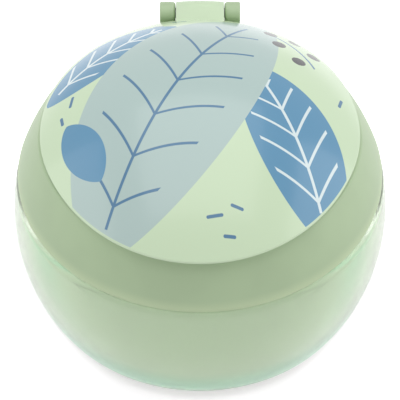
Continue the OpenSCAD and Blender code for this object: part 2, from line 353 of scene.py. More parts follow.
def cut(piece, operation, *tools):  # UNION, DIFFERENCE or INTERSECT with other closed shapes
    for tool in tools:
        modifier = piece.modifiers.new(operation.lower(), "BOOLEAN")
        modifier.operation = operation
        modifier.object = tool
        modifier.solver = "EXACT"
    settled(piece)
    for tool in tools:
        bpy.data.objects.remove(tool)
    return piece


def bevelled(piece, width, segments=3, angle=40):
    modifier = piece.modifiers.new("edges", "BEVEL")
    modifier.width = width * mm
    modifier.segments = segments
    modifier.limit_method = "ANGLE"
    modifier.angle_limit = radians(angle)
    return settled(piece)


def coated(piece, *finishes):
    piece.data.materials.clear()
    for finish in finishes:
        piece.data.materials.append(finish.material)
    return piece


def fitted(piece, body, nodes, sharpAngle=32):  # the shading, the nodes it hides and the body
    piece.data.shade_smooth()
    piece.data.set_sharp_from_angle(angle=radians(sharpAngle))
    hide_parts(*nodes)
    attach(piece, body)
    print("piece", piece.name, "faces", len(piece.data.polygons))
    return piece


print("stage: finishes")

plasticColours = {
    "bowl": tint(231, 242, 223),
    "bowlFoot": tint(188, 234, 208),
    "collar": tint(177, 199, 161),
    # the collar's hem, lighter: painted light from below
    "collarHemUnderLight": tint(194, 213, 173),
    "lid": tint(208, 229, 195),
    "silicone": tint(236, 240, 234),
    "flaps": tint(222, 233, 216),
    "steel": tint(200, 202, 204),
}

mouldedLook = {
    "cloudScale": 0.06,  # patches a few centimetres across
    "grainScale": 2.4,
    "cloudShades": (0.97, 1.03),
    "cloudBand": (0.3, 0.7),
    "cloudGloss": 0.08,
    "grainGloss": 0.06,
}


def mouldedPlastic(name, colour, roughness, grain, paintedUnderLight=None):
    # Satin plastic or silicone: cloudy in colour, with a fine moulded grain and an uneven gloss.
    # A lower edge may take a lighter colour, painted light from below, up to a height that is softly ended.
    look = mouldedLook
    finish = Finish(name)
    place = finish.place()
    cloud = finish.noise(place, look["cloudScale"], 2)
    fine = finish.noise(place, look["grainScale"], 4, 0.6)
    darker, lighter = (shaded(colour, share) for share in look["cloudShades"])
    clouded = finish.mix(darker, lighter, cloud.eased(*look["cloudBand"]))
    if paintedUnderLight:
        underLightColour, low, high = paintedUnderLight
        # painted light from below: the lower edge is lighter up to a softly ended height
        clouded = finish.mix(underLightColour, clouded, finish.axes(place)[2].eased(low, high))
    finish.feed("Base Color", clouded)
    evenGloss = roughness - (look["cloudGloss"] + look["grainGloss"]) / 2
    finish.feed("Roughness", cloud * look["cloudGloss"] + fine * look["grainGloss"] + evenGloss)
    return finish.bump(fine, grain)


# name, colour, roughness, grain, and the collar hem's lighter colour, painted light from below, with the
# heights where it ends
collarPlastic = mouldedPlastic("sageSatinPlastic", plasticColours["collar"], 0.42, 0.12,
                               (plasticColours["collarHemUnderLight"], 45, 48.5))
lidPlastic = mouldedPlastic("mintGlossPlastic", plasticColours["lid"], 0.24, 0.05)
sealSilicone = mouldedPlastic("frostedSilicone", plasticColours["silicone"], 0.5, 0.1)
flapSilicone = mouldedPlastic("softFlapSilicone", plasticColours["flaps"], 0.46, 0.14)

bowlLook = {
    "footRadii": (38, 42),  # the foot's deeper colour sets in between these radii
    "footHeights": (6, 18),  # and fades out between these heights
    "underside": 3.2,  # up to this height the colour stays plain
    "frostRadius": 50.5,
    "frostHeight": 43.4,
    "frost": 0.8,
    "gloss": 0.12,
    "cloudGloss": 0.06,
}


def clearBowlPlastic():
    # Clear green plastic, a little milky, deeper in colour where the wall turns into the foot, and
    # frosted on the shoulder and the threaded neck.
    look = bowlLook
    finish = Finish("clearGreenPlastic", Transmission_Weight=0.9, IOR=1.46)
    place = finish.place()
    x, y, height = finish.axes(place)
    radius = (x * x + y * y).root()
    footTurn = (radius.eased(*look["footRadii"]) * (1 - height.eased(*look["footHeights"]))
                * height.above(look["underside"]))
    cloud = finish.noise(place, 0.05, 2)
    fine = finish.noise(place, 1.6, 3, 0.6)
    finish.feed("Base Color", finish.mix(plasticColours["bowl"], plasticColours["bowlFoot"], footTurn))
    frosted = (1 - radius.above(look["frostRadius"])) * height.above(look["frostHeight"])
    finish.feed("Roughness", cloud * look["cloudGloss"] + frosted * look["frost"] + look["gloss"])
    return finish.bump(fine, 0.02)


bowlPlastic = clearBowlPlastic()

steelLook = {"alongScale": 0.15, "acrossScale": 6, "darkShare": 0.9, "gloss": 0.24, "scratchGloss": 0.12}


def drawnSteel():
    look = steelLook
    finish = Finish("drawnSteel", Metallic=1.0)
    x, y, z = finish.axes(finish.place())
    drawn = finish.vector(x * look["alongScale"], y * look["acrossScale"], z * look["acrossScale"])
    scratch = finish.noise(drawn, 1, 3, 0.6)
    steel = plasticColours["steel"]
    finish.feed("Base Color", finish.mix(shaded(steel, look["darkShare"]), steel, scratch))
    finish.feed("Roughness", scratch * look["scratchGloss"] + look["gloss"])
    return finish.bump(scratch, 0.08)


pinSteel = drawnSteel()

print("stage: screw thread")

threadSizes = {
    "starts": 2,
    "turns": 0.75,
    "foot": 46.3,  # height of the ridges' lower ends
    "root": 1.5,  # width along the axis
    "crest": 0.6,
    "height": 0.75,
    "sink": 0.25,  # how deep a ridge is rooted in its wall
    "runOut": 12,  # how steeply a ridge rises at its ends
    "endHeight": 0.2,  # share of its height that it starts and ends at
    "pointsPerTurn": 96,
}


def threadTree():
    sizes = dict.fromkeys(["Radius", "Lead", "Turns", "Root", "Crest", "Height", "Foot", "Inward"], "Float")
    tree = ShapeTree("screwThread", {
        **sizes, "Starts": "Int", "Points Per Turn": "Int", "Material": "Material"})
    radius = tree.given("Radius")
    turns = tree.given("Turns")
    helix = tree.add("GeometryNodeCurveSpiral", {}, {
        "Resolution": tree.given("Points Per Turn"), "Rotations": turns, "Start Radius": radius,
        "End Radius": radius, "Height": tree.given("Lead") * turns, "Reverse": True})
    upright = tree.add("GeometryNodeSetCurveNormal", {"mode": "Z_UP"}, {"Curve": helix})
    along = tree.add("GeometryNodeSplineParameter")
    taper = (along.least(1 - along) * threadSizes["runOut"]).least(1).most(threadSizes["endHeight"])
    tapered = tree.add("GeometryNodeSetCurveRadius", {}, {"Curve": upright, "Radius": taper})
    section = tree.add("GeometryNodeCurvePrimitiveQuadrilateral", {"mode": "TRAPEZOID"}, {
        "Bottom Width": tree.given("Root"), "Top Width": tree.given("Crest"),
        "Height": tree.given("Height"), "Offset": 0})
    facing = tree.add("GeometryNodeTransform", {}, {
        "Geometry": section, "Rotation": tree.vector(z=tree.given("Inward") * (-pi / 2))})
    ridge = tree.add("GeometryNodeCurveToMesh", {}, {
        "Curve": tapered, "Profile Curve": facing, "Fill Caps": True})
    spots = tree.add("GeometryNodeMeshLine", {}, {"Count": tree.given("Starts"), "Offset": (0, 0, 0)})
    turn = tree.add("GeometryNodeInputIndex") / tree.given("Starts") * (2 * pi)
    ridges = tree.add("GeometryNodeInstanceOnPoints", {}, {
        "Points": spots, "Instance": ridge, "Rotation": tree.vector(z=turn)})
    tree.close(tree.add("GeometryNodeTransform", {}, {
        "Geometry": ridges, "Translation": tree.vector(z=tree.given("Foot"))}))
    return tree


screwThread = threadTree()


def threadRidges(wallRadius, inward, lift, finish):
    # inward is 1 for ridges on the inside of a wall, and -1 for ridges on its outside
    size = threadSizes
    return screwThread.shape(linked("threadRidges", bpy.data.meshes.new("threadRidges")), {
        "Radius": (wallRadius - inward * (size["height"] - size["sink"]) / 2) * mm,
        "Lead": threadLead * mm, "Turns": size["turns"], "Starts": size["starts"],
        "Root": size["root"] * mm, "Crest": size["crest"] * mm,
        "Height": (size["height"] + size["sink"]) * mm, "Foot": (size["foot"] + lift) * mm,
        "Points Per Turn": size["pointsPerTurn"], "Inward": inward, "Material": finish.material})


print("stage: bowl")

bowlSizes = {
    "belly": nodeBox["bowl"][1].x,  # radius at the widest place
    "bellyHeight": 30,
    "sideArc": 60,
    "wall": 2.2,
    "shoulder": 43.8,
    "edgeRound": 2,
    "baseRound": 8,
    "innerRound": 2,
    "footRing": 34,
    "footHollow": 0.9,
    "neck": 46.2,
    "neckWall": 1.8,
    "neckTop": nodeBox["bowl"][1].z,
    "rimRound": 0.4,
    "softEdge": 0.5,
    "steps": 288,
}


def bowlOutline():
    size = bowlSizes
    arc, soft, shoulder = size["sideArc"], size["softEdge"], size["shoulder"]
    centre = (size["belly"] - arc, size["bellyHeight"])
    base = roundingCentre(centre, arc, size["baseRound"], size["baseRound"])
    edge = roundingCentre(centre, arc, size["edgeRound"], shoulder - size["edgeRound"])
    innerArc = arc - size["wall"]
    ceiling = shoulder - size["wall"]
    inner = roundingCentre(centre, innerArc, size["innerRound"], ceiling - size["innerRound"])
    baseTurn, edgeTurn, innerTurn = (bearing(centre, point) for point in (base, edge, inner))
    mouth = size["neck"] - size["neckWall"]
    return filleted([
        (0, size["footHollow"]),
        (size["footRing"] - size["footHollow"], size["footHollow"], soft),
        (size["footRing"], 0, soft),
        *arcPoints(base, size["baseRound"], -90, baseTurn, 14),
        *arcPoints(centre, arc, baseTurn + 1, edgeTurn - 0.5, 40),
        *arcPoints(edge, size["edgeRound"], edgeTurn, 90, 6),
        (size["neck"], shoulder, soft),
        (size["neck"], size["neckTop"], size["rimRound"]),
        (mouth, size["neckTop"], size["rimRound"]),
        (mouth, ceiling, soft),
        *arcPoints(inner, size["innerRound"], 90, innerTurn, 8),
        *arcPoints(centre, innerArc, innerTurn - 0.5, baseTurn + 1, 40),
        *arcPoints(base, size["baseRound"] - size["wall"], baseTurn, -90, 12),
        (0, size["wall"]),
    ])


bowl = coated(turned("bowlShell", bowlOutline(), bowlSizes["steps"]), bowlPlastic)
cut(bowl, "UNION", threadRidges(bowlSizes["neck"], -1, 0, bowlPlastic))
fitted(bowl, "bowl", ["bowl"])

print("stage: gasket")

gasketSizes = {"edge": 0.35, "lipRise": 0.12, "lipWidth": 0.8, "overhang": 0.1}


def gasketOutline():  # a flat ring with a soft lip on each face
    size = gasketSizes
    low, high = nodeBox["bowl_gasket"]
    inner, outer = bowlSizes["neck"] - bowlSizes["neckWall"] - size["overhang"], high.x
    middle = (inner + outer) / 2
    half = size["lipWidth"] / 2
    rise = size["lipRise"]
    face = [(inner, rise), (middle - 2 * half, rise), (middle - half, 0),
            (middle + half, 0), (middle + 2 * half, rise), (outer, rise)]
    return filleted([(radius, low.z + depth, size["edge"]) for radius, depth in face]
                    + [(radius, high.z - depth, size["edge"]) for radius, depth in reversed(face)])


fitted(coated(turned("bowlGasket", gasketOutline()), sealSilicone), "gasket", ["bowl_gasket"])

print("stage: collar")

collarSizes = {
    "hem": 52.5,  # radius of the bottom edge
    "hemHeight": nodeBox["collar"][0].z,
    "deckCorner": 45.3,
    "deck": 60.3,
    "sideArc": 70,
    "hemRound": 1,
    "browRound": 1.6,
    "skin": 1.8,
    "bore": 47.5,
    "skirtWall": 1.5,
    "skirtLift": 0.6,
    "seatHeight": 54.2,
    "seat": 44.2,
    "underDeck": 58.3,
    "rib": 40.9,
    "ribWall": 1.4,
    "ribFoot": 55.4,
    "hole": 34,
    "bead": 0.8,
    "beadRise": 0.2,
    "catch": 41.2,
    "catchWall": 1.2,
    "catchHeight": 1.6,
    "catchSweep": 36,
    "snapOut": 0.3,  # how far the snap bead stands out from the catch ring
    "snapDrop": 1,  # and how far below the ring's top it starts
    "softEdge": 0.3,
}

hingeSizes = {
    "knuckle": 3.3,
    "middleWidth": 14.2,
    "sideWidth": 4.6,
    "gap": 0.15,
    "crown": 0.3,
    "pocketRoom": 0.4,
    "barrelSteps": 72,
    "pin": 1.5,
    "pinRoom": 0.05,
    "pinEdge": 0.3,
    "pinSteps": 64,
    "boreHalf": 12,
    "innerRound": 0.9,
    "outerRound": 0.5,
    "middleRound": 0.5,
    "webRound": 5,
    "webInset": 0.5,
    "webDepth": 0.4,  # share of the collar's skin that the web reaches into
    "webEdge": 0.3,
    "boreRoom": 0.2,
    "tongueReach": 3.5,
    "tongueFoot": 1,
    "tongueRise": 0.15,
    "tongueEdge": 0.4,
}
sideStart = hingeSizes["middleWidth"] / 2 + hingeSizes["gap"]
sideEnd = sideStart + hingeSizes["sideWidth"]


def sideCentre():
    size = collarSizes
    return arcCentre((size["hem"], size["hemHeight"]), (size["deckCorner"], size["deck"]), size["sideArc"])


def collarOutline():
    size = collarSizes
    soft, arc, foot = size["softEdge"], size["sideArc"], size["hemHeight"]
    deck, under = size["deck"], size["underDeck"]
    centre = sideCentre()
    hem = roundingCentre(centre, arc, size["hemRound"], foot + size["hemRound"])
    brow = roundingCentre(centre, arc, size["browRound"], deck - size["browRound"])
    hemTurn, browTurn = bearing(centre, hem), bearing(centre, brow)
    catchHalf = size["catchWall"] / 2
    catchMiddle = (size["catch"] - catchHalf, deck + size["catchHeight"] - catchHalf)
    hollow = size["bore"] + size["skirtWall"]
    hollowArc = arc - size["skin"]
    hollowTop = centre[1] + sqrt(hollowArc ** 2 - (hollow - centre[0]) ** 2)
    hollowFoot = centre[0] + sqrt(hollowArc ** 2 - (foot - centre[1]) ** 2)
    skirtFoot = foot + size["skirtLift"]
    ribOuter = size["rib"] + size["ribWall"]
    return filleted([
        *arcPoints(hem, size["hemRound"], -90, hemTurn, 8),
        *arcPoints(centre, arc, hemTurn + 0.4, browTurn - 0.4, 24),
        *arcPoints(brow, size["browRound"], browTurn, 90, 10),
        (size["catch"], deck, soft),
        *arcPoints(catchMiddle, catchHalf, 0, 180, 10),
        (size["catch"] - size["catchWall"], deck, soft),
        (size["hole"] + 2 * size["bead"], deck, size["beadRise"] / 2),
        *arcPoints((size["hole"] + size["bead"], deck + size["beadRise"]), size["bead"], 0, 180, 12),
        (size["hole"], under, soft),
        (size["rib"], under, soft),
        (size["rib"], size["ribFoot"], soft),
        (ribOuter, size["ribFoot"], soft),
        (ribOuter, under, soft),
        (size["seat"], under, soft),
        (size["seat"], size["seatHeight"], soft),
        (size["bore"], size["seatHeight"], soft),
        (size["bore"], skirtFoot, soft),
        (hollow, skirtFoot, soft),
        (hollow, hollowTop, 2 * soft),
        *arcPoints(centre, hollowArc, bearing(centre, (hollow, hollowTop)) - 0.6,
                   bearing(centre, (hollowFoot, foot)), 10),
    ])


def sideKnuckle():
    size = hingeSizes
    return alongHinge(rod("sideKnuckle", size["knuckle"], sideStart, sideEnd, size["barrelSteps"],
                          (size["innerRound"], size["outerRound"]), 10))


def knuckleWeb():  # carries a knuckle on the collar's skin, on a hollow curve
    size = hingeSizes
    knuckle = (hingeY, hingeZ)
    fall = hingeY - sqrt(hingeY ** 2 - sideEnd ** 2)  # the skin falls away round the container
    skin = (sideCentre()[0] - fall, sideCentre()[1])
    sideArc = collarSizes["sideArc"]
    web = crossing(knuckle, size["knuckle"] + size["webRound"], skin, sideArc + size["webRound"])
    webFoot = bearing(web, skin) + 360
    outline = [
        knuckle,
        *arcPoints(web, size["webRound"], bearing(web, knuckle), webFoot, 14),
        *arcPoints(skin, sideArc - size["webDepth"] * collarSizes["skin"], webFoot - 180,
                   bearing(skin, (collarSizes["deckCorner"], collarSizes["deck"])), 6),
        (hingeY, collarSizes["deck"]),
    ]
    piece = extruded("knuckleWeb", outline, sideStart + size["webInset"], sideEnd - size["webInset"])
    keepOut = rod("keepOut", collarSizes["bore"] + size["boreRoom"], 0, collarSizes["seatHeight"], roundSteps)
    return cut(sideways(bevelled(piece, size["webEdge"])), "DIFFERENCE", keepOut)


def hingeBarrel(name, radius, halfLength):  # a plain cylinder round the pin, to cut with
    return alongHinge(rod(name, radius, -halfLength, halfLength, hingeSizes["barrelSteps"]))


snapSizes = {"root": 0.3, "crestFoot": 0.3, "crestTop": 0.5, "height": 0.8, "edge": 0.15, "steps": 24}


def snapBead(wall, out, foot):  # stands out from a wall, or inwards where out is negative
    size = snapSizes
    root = wall - size["root"] if out > 0 else wall + size["root"]
    return turned("snapBead", filleted([
        (root, foot), (wall + out, foot + size["crestFoot"], size["edge"]),
        (wall + out, foot + size["crestTop"], size["edge"]), (root, foot + size["height"])]),
        size["steps"], collarSizes["catchSweep"])


collar = coated(turned("collarShell", collarOutline()), collarPlastic)
knuckle, web = sideKnuckle(), knuckleWeb()
threadLift = threadLead / threadSizes["starts"] / 2  # half a pitch, so the ridges lie between each other
collarBead = snapBead(collarSizes["catch"], collarSizes["snapOut"],
                      collarSizes["deck"] + collarSizes["catchHeight"] - collarSizes["snapDrop"])
cut(collar, "UNION", mirrored(knuckle), knuckle, mirrored(web), web, collarBead,
    threadRidges(collarSizes["bore"], 1, threadLift, collarPlastic))
cut(collar, "DIFFERENCE",
    hingeBarrel("pinBore", hingeSizes["pin"], 2 * sideEnd),
    hingeBarrel("pocket", hingeSizes["knuckle"] + hingeSizes["crown"] + hingeSizes["pocketRoom"], sideStart))
fitted(collar, "collar", ["collar"])

print("stage: pin")

pinHalf = nodeBox["hinge_pin"][1].x
pin = rod("pinRod", hingeSizes["pin"], -pinHalf, pinHalf, hingeSizes["pinSteps"], [hingeSizes["pinEdge"]] * 2)
fitted(coated(alongHinge(pin), pinSteel), "collar", ["hinge_pin"])

print("stage: flap membrane")

membraneSizes = {
    "low": nodeBox["membrane_ring"][0].z,
    "high": nodeBox["membrane_ring"][1].z,
    "outer": nodeBox["membrane_ring"][1].x,
    "windowCorner": 33,
    "rootGap": 0.18,
    "slit": 0.6,
    "tipRound": 1.2,
    "tipLeast": 0.3,  # the least rounding that the inner rings of a flap's tip keep
    "relief": 1.4,
    "past": 1,  # how far the cutting pieces stand past the membrane's faces
    "flaps": 6,
    "edge": 0.3,
    "thinning": 0.22,  # how much thinner each face of a flap is inside its edge
    "edgeBand": 1.1,
    "bandSlope": 0.6,
    "beadEdge": 0.3,
    "rodSteps": 32,
}
halfFlap = 180 / membraneSizes["flaps"]
cutSpan = membraneSizes["low"] - membraneSizes["past"], membraneSizes["high"] + membraneSizes["past"]


def windowCorners(reach):  # points in the directions of the window's corners
    turns = [radians(90 + halfFlap * (2 * number + 1)) for number in range(membraneSizes["flaps"])]
    return [(reach * cos(turn), reach * sin(turn)) for turn in turns]


def reliefHoles():
    size = membraneSizes
    return [moved(rod("reliefHole", size["relief"], *cutSpan, size["rodSteps"]),
                  Matrix.Translation((x * mm, y * mm, 0)))
            for x, y in windowCorners(size["windowCorner"] - size["relief"] / 2)]


def membraneRing():
    size = membraneSizes
    disc = rod("membraneRing", size["outer"], size["low"], size["high"], roundSteps, [size["edge"]] * 2)
    window = extruded("window", windowCorners(size["windowCorner"]), *cutSpan)
    return bevelled(cut(disc, "DIFFERENCE", window, *reliefHoles()), size["edge"], 2, 60)


def flapCorners(inset):  # the tip, where the sides would meet, and the root's place and half width
    size = membraneSizes
    half = radians(halfFlap)
    tip = (size["slit"] / 2 + inset) / sin(half)
    beadRadius = (size["high"] - size["low"]) / 2
    root = size["windowCorner"] * cos(half) - size["rootGap"] - beadRadius - inset
    return tip, root, (root - tip) * tan(half)


def flapOutline(inset):
    tip, root, rootHalf = flapCorners(inset)
    rounding = max(membraneSizes["tipRound"] - inset, membraneSizes["tipLeast"])
    return filleted([(tip, 0, rounding), (root, -rootHalf), (root, rootHalf)])


def flapWedge(number):
    # A wedge with a rounded edge all round and thinner faces inside it, and a bead along its root.
    size = membraneSizes
    thickness = size["high"] - size["low"]
    band, edge = size["edgeBand"], size["edge"]
    rim = lofted("flapWedge", [(flapOutline(inset), height) for inset, height in [
        (band + size["bandSlope"], size["low"] + size["thinning"]), (band, size["low"]),
        *arcPoints((edge, size["low"] + edge), edge, 270, 180, 3),
        *arcPoints((edge, size["high"] - edge), edge, 180, 90, 3),
        (band, size["high"]), (band + size["bandSlope"], size["high"] - size["thinning"])]])
    tip, rootX, rootHalf = flapCorners(0)
    beadHalf = rootHalf - size["relief"]
    bead = rod("rootBead", thickness / 2, -beadHalf, beadHalf, size["rodSteps"], [size["beadEdge"]] * 2)
    toRoot = Matrix.Translation((rootX * mm, 0, (size["low"] + thickness / 2) * mm))
    moved(bead, toRoot @ Matrix.Rotation(pi / 2, 4, "X"))
    cut(rim, "UNION", bead)
    moved(rim, Matrix.Rotation(radians(90 + 2 * halfFlap * (number - 1)), 4, "Z"))
    cut(rim, "DIFFERENCE", *reliefHoles())
    rim.name = "flapWedge" + str(number)
    return rim


fitted(coated(membraneRing(), flapSilicone), "collar", ["membrane_ring"])
for number in range(1, membraneSizes["flaps"] + 1):
    flap = coated(flapWedge(number), flapSilicone)
    fitted(flap, "flap_" + str(number), ["flap_" + str(number)])

retainerSizes = {"setBack": 0.5, "topEdge": 0.15, "handEdge": 0.5, "chamfer": 0.5, "chamferEdge": 0.2}


def flapRetainer():
    size = retainerSizes
    low, high = nodeBox["flap_retainer"]
    inner = collarSizes["hole"] + size["setBack"]
    return turned("flapRetainer", filleted([
        (inner, high.z, size["topEdge"]), (inner, low.z, size["handEdge"]),
        (high.x - size["chamfer"], low.z, size["chamferEdge"]),
        (high.x, low.z + size["chamfer"], size["chamferEdge"]), (high.x, high.z, size["topEdge"])]))


fitted(coated(flapRetainer(), collarPlastic), "collar", ["flap_retainer"])

print("stage: lid")

lidSizes = {
    "rim": 45,  # radius at the sides and the back
    "lip": 3.5,  # how far the thumb lip stands forward of that
    "lipSpread": 70,  # degrees from the front to where the lip ends
    "lipFlare": 2.5,  # how late the lip begins, from the top of the dome to the rim
    "top": nodeBox["lid"][1].z,
    "rimFoot": 60.75,
    "rimEdge": 0.75,
    "wall": 1.8,
    "edgeRound": 0.3,
    "snapWall": 1.2,
    "snapGap": 0.7,
    "snapOut": 0.15,
    "snapFoot": 60.5,
    "sealInner": 36.7,
    "sealOuter": 38.9,
    "sealRoof": 62.6,
    "carrierWall": 0.8,
    "carrierFoot": 61.1,
    "ringTop": 75,  # inside the dome, which the rings under it are cut to
    "grooveFoot": 59,
    "arcEnd": 0.5,  # how far short of the rim the dome's arc stops
    "arcSteps": 60,
    "softEdge": 0.25,
}
capHeight = lidSizes["top"] - lidSizes["rimFoot"] - lidSizes["rimEdge"]
domeRadius = (lidSizes["rim"] ** 2 + capHeight ** 2) / (2 * capHeight)
domeCentre = (0, lidSizes["top"] - domeRadius)

printColours = {
    "field": tint(180, 202, 198),
    "leaf": tint(94, 149, 184),
    "line": tint(82, 127, 162),
    "berry": tint(70, 70, 74),
    "vein": tint(222, 236, 238),
}

# The print's motifs, in millimetres from the middle of the lid, seen from above with the front below.
lidPrint = {
    "softEdge": 0.09,
    "plainRim": 0.35,  # width of the band at the rim that the print leaves bare
    "plainBack": 2.2,  # how much wider it is at the hinge
    "leastSlope": 0.2,  # upward share of a face's normal from which it is printed
    "leaves": [  # each one over the ones before it; pitch is the step from one side vein to the next
        {"at": (24, -14), "turn": 114, "length": 27, "width": 12.5, "bend": -2.5, "fullness": 0.72,
         "fill": "leaf", "veins": "vein", "pitch": 8.5, "reach": 0.72, "margin": 2.3, "phase": 0.5,
         "slant": 1.1},
        {"at": (-25, 20), "turn": 34, "length": 22, "width": 9.5, "bend": 2.5, "fullness": 0.72,
         "fill": "leaf", "veins": "vein", "pitch": 7, "reach": 0.8, "margin": 2.3, "phase": 0.5,
         "slant": 1.1},
        {"at": (-5, -3), "turn": 61, "length": 48, "width": 22.5, "bend": 3.5, "fullness": 0.68,
         "fill": "field", "veins": "line", "pitch": 13, "reach": 0.84, "margin": 6.5, "phase": 0.2,
         "slant": 0.85},
    ],
    "smallLeaf": {"at": (-32, -15), "turn": -64, "length": 11.5, "width": 5.2, "bend": 0, "fullness": 0.72},
    "stalk": {"at": (26, 25.5), "turn": -50, "length": 10, "width": 0.36, "bend": 1.6},
    "berries": [(20.4, 33.4), (27.4, 32.2), (22.6, 25.8), (32.6, 26), (28, 18.4)],
    "berryRadius": 2.0,
    # dashes: x, y, turn and half length
    "dashes": [(-36, 4, 80, 1.7), (-38.5, -2, 100, 1.2), (4, -38, 10, 1.9), (10, -35.5, -15, 1.4),
               (8, -42.5, 0, 1.3), (39.5, 6, 76, 1.5), (-6, 38, 5, 1.8), (-12, 34.5, -20, 1.2)],
    "dashWidth": 0.42,
    "veinWidth": 0.42,
    "sideVein": 0.8,  # width of a side vein as a share of the midrib's
    "veinCurve": 0.012,
}


def motifAxes(x, y, motif):  # coordinates along and across a motif that may be bent into a bow
    (atX, atY), turn = motif["at"], radians(motif["turn"])
    along = x * cos(turn) + y * sin(turn) - (atX * cos(turn) + atY * sin(turn))
    across = y * cos(turn) - x * sin(turn) + (atX * sin(turn) - atY * cos(turn))
    bow = 1 - (along / motif["length"]) ** 2
    return along, across - motif["bend"] * bow, bow


def leafShape(x, y, motif):  # how far inside the leaf's edge a point is
    along, across, bow = motifAxes(x, y, motif)
    inside = bow.most(1e-6) ** motif["fullness"] * motif["width"] - abs(across)
    return along, across, inside - (1 - bow.above(0)) * 9  # well outside past the leaf's ends


def leafVeins(along, across, inside, motif):
    width, pitch, slant = lidPrint["veinWidth"], motif["pitch"], motif["slant"]
    tips = motif["length"] * motif["reach"] - abs(along)
    midrib = (width - abs(across)).least(tips)
    lean = along - abs(across) * slant + across * across * lidPrint["veinCurve"]
    row = abs((lean / pitch + motif["phase"]).wrapped() - 0.5) * (pitch / sqrt(1 + slant ** 2))
    return midrib.most((width * lidPrint["sideVein"] - row).least(inside - motif["margin"]).least(tips))


def strokeShape(x, y, motif):
    along, across, bow = motifAxes(x, y, motif)
    past = (abs(along) - motif["length"]).most(0)
    return motif["width"] - (across * across + past * past).root()


def printedLidPlastic():
    # Mint plastic with the print in it, under the same gloss.
    finish = Finish("printedLidPlastic", Coat_Weight=0.25, Coat_Roughness=0.08)
    place = finish.place()
    x, y, z = finish.axes(place)
    cloud = finish.noise(place, 0.05, 2)
    fine = finish.noise(place, 2.0, 3, 0.6)
    picture = plasticColours["lid"]

    def drawn(shape, colour):
        nonlocal picture
        picture = finish.mix(picture, colour, shape.eased(-lidPrint["softEdge"], lidPrint["softEdge"]))

    for leaf in lidPrint["leaves"]:
        along, across, inside = leafShape(x, y, leaf)
        drawn(inside, printColours[leaf["fill"]])
        drawn(leafVeins(along, across, inside, leaf), printColours[leaf["veins"]])
    drawn(leafShape(x, y, lidPrint["smallLeaf"])[2], printColours["leaf"])
    drawn(strokeShape(x, y, lidPrint["stalk"]), printColours["line"])
    for atX, atY in lidPrint["berries"]:
        offX, offY = x - atX, y - atY
        drawn(lidPrint["berryRadius"] - (offX * offX + offY * offY).root(), printColours["berry"])
    for atX, atY, turn, length in lidPrint["dashes"]:
        dash = {"at": (atX, atY), "turn": turn, "length": length, "bend": 0, "width": lidPrint["dashWidth"]}
        drawn(strokeShape(x, y, dash), printColours["line"])
    spread = radians(lidSizes["lipSpread"])
    turn = abs(x.maths("ARCTAN2", x, y * -1)).least(spread)
    rim = ((turn * (pi / spread)).cosine() + 1) * (lidSizes["lip"] / 2) + lidSizes["rim"]
    bare = y.eased(0, lidSizes["rim"]) * lidPrint["plainBack"] + lidPrint["plainRim"]
    drawn((x * x + y * y).root() - rim + bare, plasticColours["lid"])
    finish.feed("Base Color", picture)
    finish.feed("Roughness", cloud * 0.06 + 0.2)
    return finish.bump(fine, 0.03)


printedPlastic = printedLidPlastic()


def thumbLipTree():
    # Draws the rim out forward into the thumb lip, with less and less pull towards the dome's top.
    tree = ShapeTree("thumbLip", {
        "Rim": "Float", "Reach": "Float", "Spread": "Float", "Flare": "Float", "Material": "Material"}, True)
    x, y, z = tree.axes(tree.add("GeometryNodeInputPosition"))
    spread = tree.given("Spread")
    rim = tree.given("Rim")
    turn = abs(x.maths("ARCTAN2", x, y * -1)).least(spread)
    window = (turn / spread * pi).cosine() * 0.5 + 0.5
    growth = ((x * x + y * y).root() / rim) ** tree.given("Flare") * window * (tree.given("Reach") / rim)
    tree.close(tree.add("GeometryNodeSetPosition", {}, {
        "Geometry": tree.given("Geometry"), "Offset": tree.vector(x * growth, y * growth)}))
    return tree


thumbLip = thumbLipTree()


def withLip(piece):
    return thumbLip.shape(piece, {
        "Rim": lidSizes["rim"] * mm, "Reach": lidSizes["lip"] * mm, "Spread": radians(lidSizes["lipSpread"]),
        "Flare": lidSizes["lipFlare"], "Material": lidPlastic.material})


def domeArc(radius, reach, steps, downwards=True):  # from the top of the dome out to a radius
    end = degrees(atan2(sqrt(radius ** 2 - reach ** 2), reach))
    return arcPoints(domeCentre, radius, *((90, end) if downwards else (end, 90)), steps)


def domeShell():
    size = lidSizes
    inner = size["rim"] - size["wall"]
    return withLip(turned("lidShell", filleted([
        *domeArc(domeRadius, size["rim"] - size["arcEnd"], size["arcSteps"]),
        (size["rim"], size["rimFoot"] + size["rimEdge"], size["edgeRound"]),
        (size["rim"], size["rimFoot"], size["edgeRound"]),
        (inner, size["rimFoot"], size["softEdge"]),
        *domeArc(domeRadius - size["wall"], inner, size["arcSteps"], False),
    ])))


def domeFilling():  # the dome's inside up to half its wall, which the rings under it are cut to
    half = lidSizes["wall"] / 2
    reach, foot = lidSizes["rim"] - half, lidSizes["snapFoot"] - 1
    return withLip(turned("domeFilling", [
        (0, foot), (reach, foot), *domeArc(domeRadius - half, reach, 40, False)]))


def softRing(name, inner, outer, foot, top, rounding):
    return turned(name, filleted([(inner, foot, rounding), (outer, foot, rounding),
                                  (outer, top), (inner, top)]))


def ringsUnderLid():
    # The skirt that snaps round the collar's catch ring, and the walls that hold the seal.
    size = lidSizes
    inner = collarSizes["catch"] + size["snapGap"]
    shared = size["ringTop"], size["softEdge"]
    skirt = softRing("snapSkirt", inner, inner + size["snapWall"], size["snapFoot"], *shared)
    carrier = softRing("sealCarrier", size["sealInner"] - size["carrierWall"],
                       size["sealOuter"] + size["carrierWall"], size["carrierFoot"], *shared)
    return cut(cut(skirt, "UNION", carrier), "INTERSECT", domeFilling())


